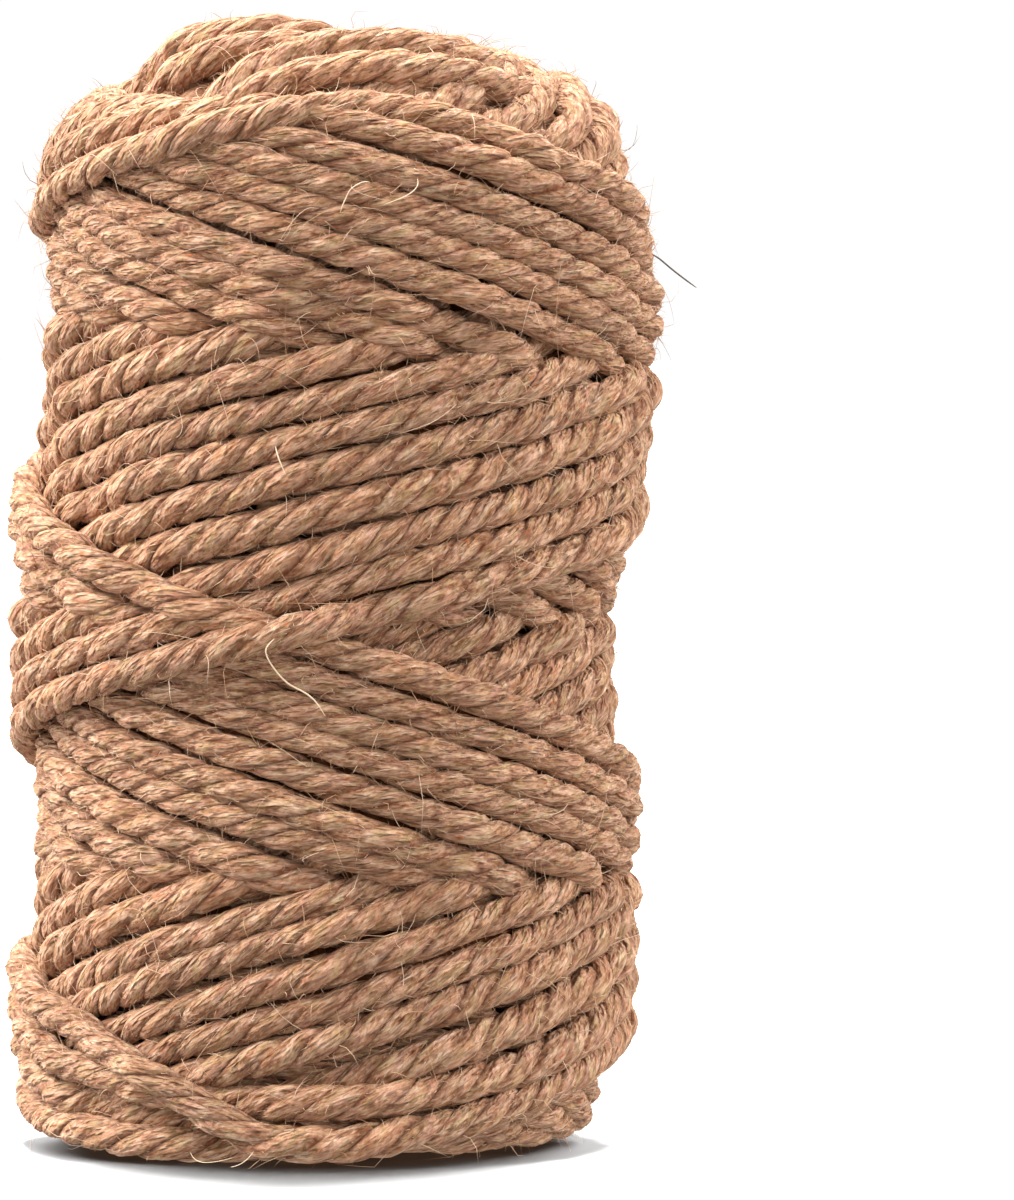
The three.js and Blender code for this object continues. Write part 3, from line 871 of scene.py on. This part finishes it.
def loose_fibres():
    """One mesh of the listed fibres, for each shade."""
    made_ = []
    for shade, colour in (("pale", (238, 212, 178)), ("dark", (84, 72, 62))):
        verts, faces, uvs = [], [], []
        rows = [f for f in LOOSE if f["shade"] == shade]
        for k_, f in enumerate(rows):
            knots = np.arange(len(f["z"]))
            u = np.linspace(0, knots[-1], 6 * knots[-1] + 1)
            az, zz, off = (gauss(np.interp(u, knots, f[c]), 3.0) for c in ("azimuth", "z", "off"))
            it = np.floor(((np.radians(az)) % TAU) / TAU * NT).astype(int) % NT
            face = np.array([H[(j + np.arange(-4, 5)) % NT, max(0, int(h / DZ) - 4):int(h / DZ) + 5].max() for j, h in zip(it, zz)])
            rr = gauss(face, 8.0) + off
            p = warp(np.stack([rr * np.sin(np.radians(az)), -rr * np.cos(np.radians(az)), zz], -1))
            p[:, 2] = np.maximum(p[:, 2], 0.2)
            t = np.gradient(p, axis=0)
            t /= np.linalg.norm(t, axis=1, keepdims=True)
            e1 = np.cross(t, [0.3, 0.2, 0.93])
            e1 /= np.linalg.norm(e1, axis=1, keepdims=True)
            e2 = np.cross(t, e1)
            w = f["thick"] * (1 - 0.7 * np.linspace(-1, 1, len(p)) ** 4)[:, None, None]
            a_ = np.arange(4) / 4 * TAU
            ring = p[:, None] + w * (np.cos(a_)[:, None] * e1[:, None] + np.sin(a_)[:, None] * e2[:, None])
            base = sum(len(v) for v in verts)
            idx = base + np.arange(len(p) * 4).reshape(-1, 4)
            nx = np.roll(np.arange(4), -1)
            q = np.stack([idx[:-1], idx[:-1][:, nx], idx[1:][:, nx], idx[1:]], -1).reshape(-1, 4)
            verts.append(ring.reshape(-1, 3))
            faces += q.tolist() + [idx[0][::-1].tolist(), idx[-1].tolist()]
            cells = np.arange(len(q) + 2)
            x0, y0 = (cells % 24) / 24, k_ / len(rows) + (cells // 24) / 24 / len(rows)
            uvs.append(np.stack([np.stack([x0 + dx / 24, y0 + dy / 24 / len(rows)], -1) for dx, dy in ((0.1, 0.1), (0.9, 0.1), (0.9, 0.9), (0.1, 0.9))], 1).reshape(-1, 2))
        me = bpy.data.meshes.new("fibres_" + shade)
        me.from_pydata((np.concatenate(verts) * MM).tolist(), [], faces)
        lay = me.uv_layers.new(name="OFBake")
        lay.data.foreach_set("uv", np.concatenate(uvs).astype(np.float32).ravel())
        me.shade_smooth()
        k = Nodes("jute_fibre_" + shade)
        bs = k.n("ShaderNodeBsdfPrincipled")
        k.put(bs.inputs["Base Color"], rgba(*colour))
        k.put(bs.inputs["Roughness"], 0.6)
        k.link(bs.outputs[0], k.out.inputs["Surface"])
        me.materials.append(k.mat)
        ob = bpy.data.objects.new("fibres_" + shade, me)
        bpy.context.scene.collection.objects.link(ob)
        print(ob.name, "triangles", sum(len(q.vertices) - 2 for q in me.polygons))
        made_.append(ob)
    return made_


fuzz += loose_fibres()

# ---------------------------------------------------------------------------
# The mass of buried turns behind them, seen only as darkness between ropes
# ---------------------------------------------------------------------------
def core_mesh():
    nt_, zs = 96, np.linspace(1.2, 166.0, 84)
    ths = np.arange(nt_) / nt_ * TAU
    rows = []
    low = np.minimum.reduce([np.roll(H, k, 0) for k in (-6, -3, 0, 3, 6)])
    for zz in zs:
        iz = int(round(zz / DZ))
        band = low[:, max(0, iz - 7):iz + 8].min(1)
        band = np.array([band[int(x / TAU * NT) % NT] for x in ths])
        band = np.minimum(gauss(np.concatenate([band] * 3), 2.0)[nt_:2 * nt_], band + 2)
        rows.append(np.clip(band - 3.0, 9.0, 44))
    rows = np.array(rows)
    pts = [np.stack([rr * np.sin(ths), -rr * np.cos(ths), np.full(nt_, zz)], -1) for rr, zz in zip(rows, zs)]
    inner = [np.stack([7.6 * np.sin(ths), -7.6 * np.cos(ths), np.full(nt_, zz)], -1) for zz in (zs[-1], zs[0])]
    pts = warp(np.array(pts + inner))
    m = len(pts)
    idx = np.arange(m * nt_).reshape(m, nt_)
    nx = np.roll(np.arange(nt_), -1)
    a, b = idx, np.roll(idx, -1, axis=0)
    faces = np.stack([a, a[:, nx], b[:, nx], b], -1).reshape(-1, 4)
    me = bpy.data.meshes.new("buried_turns")
    me.from_pydata((pts.reshape(-1, 3) * MM).tolist(), [], faces.tolist())
    me.update()
    me.shade_smooth()
    k = Nodes("jute_buried")
    geo = k.n("ShaderNodeTexCoord")
    nz_ = k.noise(geo.outputs["Object"], 600.0, 4.0, 0.6)
    # the buried turns are real rope, but their colour is darker and redder than the rope outside: painted shade for
    # the gaps between ropes
    col = k.ramp(nz_, [(0.3, srgb(100, 50, 24)), (0.7, srgb(154, 94, 56))])
    bs = k.n("ShaderNodeBsdfPrincipled")
    k.put(bs.inputs["Base Color"], col)
    k.put(bs.inputs["Roughness"], 0.95)
    k.put(bs.inputs["Specular IOR Level"], 0.1)
    bump = k.n("ShaderNodeBump")
    k.put(bump.inputs["Strength"], 0.8)
    k.put(bump.inputs["Distance"], 0.001)
    k.put(bump.inputs["Height"], nz_)
    k.link(bump.outputs[0], bs.inputs["Normal"])
    k.link(bs.outputs[0], k.out.inputs["Surface"])
    me.materials.append(k.mat)
    ob = bpy.data.objects.new("buried_turns", me)
    bpy.context.scene.collection.objects.link(ob)
    return ob


core = core_mesh()

pieces = ropes + fuzz + [core]
for ob in pieces:
    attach(ob, "root")
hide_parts("rope_roll")

# ---------------------------------------------------------------------------
# Floor and light
# ---------------------------------------------------------------------------
def floor_and_light():
    k = Nodes("floor_white")
    bs = k.n("ShaderNodeBsdfPrincipled")
    k.put(bs.inputs["Base Color"], (0.12, 0.12, 0.12, 1.0))
    k.put(bs.inputs["Roughness"], 0.7)
    k.put(bs.inputs["Specular IOR Level"], 0.1)
    k.link(bs.outputs[0], k.out.inputs["Surface"])
    me = bpy.data.meshes.new("floor")
    me.from_pydata([(-40, -40, 0), (40, -40, 0), (40, 40, 0), (-40, 40, 0)], [], [(0, 1, 2, 3)])
    me.materials.append(k.mat)
    ob = bpy.data.objects.new("floor", me)
    bpy.context.scene.collection.objects.link(ob)
    ob.visible_diffuse = False

    # a white room: seen white, and lighting softly
    w = bpy.data.worlds.new("world")
    bpy.context.scene.world = w
    w.use_nodes = True
    t = w.node_tree
    t.nodes.clear()
    out = t.nodes.new("ShaderNodeOutputWorld")
    mix = t.nodes.new("ShaderNodeMixShader")
    path = t.nodes.new("ShaderNodeLightPath")
    soft, seen = t.nodes.new("ShaderNodeBackground"), t.nodes.new("ShaderNodeBackground")
    soft.inputs[0].default_value = (1, 1, 1, 1)
    soft.inputs[1].default_value = 0.73
    seen.inputs[0].default_value = (1, 1, 1, 1)
    seen.inputs[1].default_value = 1.02
    t.links.new(path.outputs["Is Camera Ray"], mix.inputs[0])
    t.links.new(soft.outputs[0], mix.inputs[1])
    t.links.new(seen.outputs[0], mix.inputs[2])
    t.links.new(mix.outputs[0], out.inputs[0])

    roll_only, floor_only = (bpy.data.collections.new(n) for n in ("lit_roll", "lit_floor"))
    floor_only.objects.link(ob)
    for piece in pieces:
        roll_only.objects.link(piece)

    def sun(name, azimuth, elevation, spread, power, lit):
        """azimuth from the front, growing to the right"""
        d = bpy.data.lights.new(name, "SUN")
        d.angle = math.radians(spread)
        d.energy = power
        o = bpy.data.objects.new(name, d)
        a, h = math.radians(azimuth), math.radians(elevation)
        o.rotation_euler = (math.pi / 2 - h, 0, a)
        bpy.context.scene.collection.objects.link(o)
        o.light_linking.receiver_collection = lit

    sun("key", -72, 50, 20, 3.0, roll_only)
    sun("top", -170, 68, 30, 5.4, roll_only)
    sun("left", -106, 26, 50, 4.6, roll_only)
    sun("right", 90, 28, 50, 3.4, roll_only)
    sun("front", -5, 7, 70, 0.6, roll_only)
    # either of these alone makes the floor white, so it is dark only where the roll hides both,
    # and two low ones from the sides take the darkness off its corners
    sun("above_1", 144, 69.5, 8, 27.4, floor_only)
    sun("above_2", -156, 69.5, 8, 27.4, floor_only)
    sun("low_1", 138, 34, 40, 20.0, floor_only)
    sun("low_2", -138, 34, 40, 20.0, floor_only)


floor_and_light()
bpy.context.scene.view_settings.view_transform = "Standard"
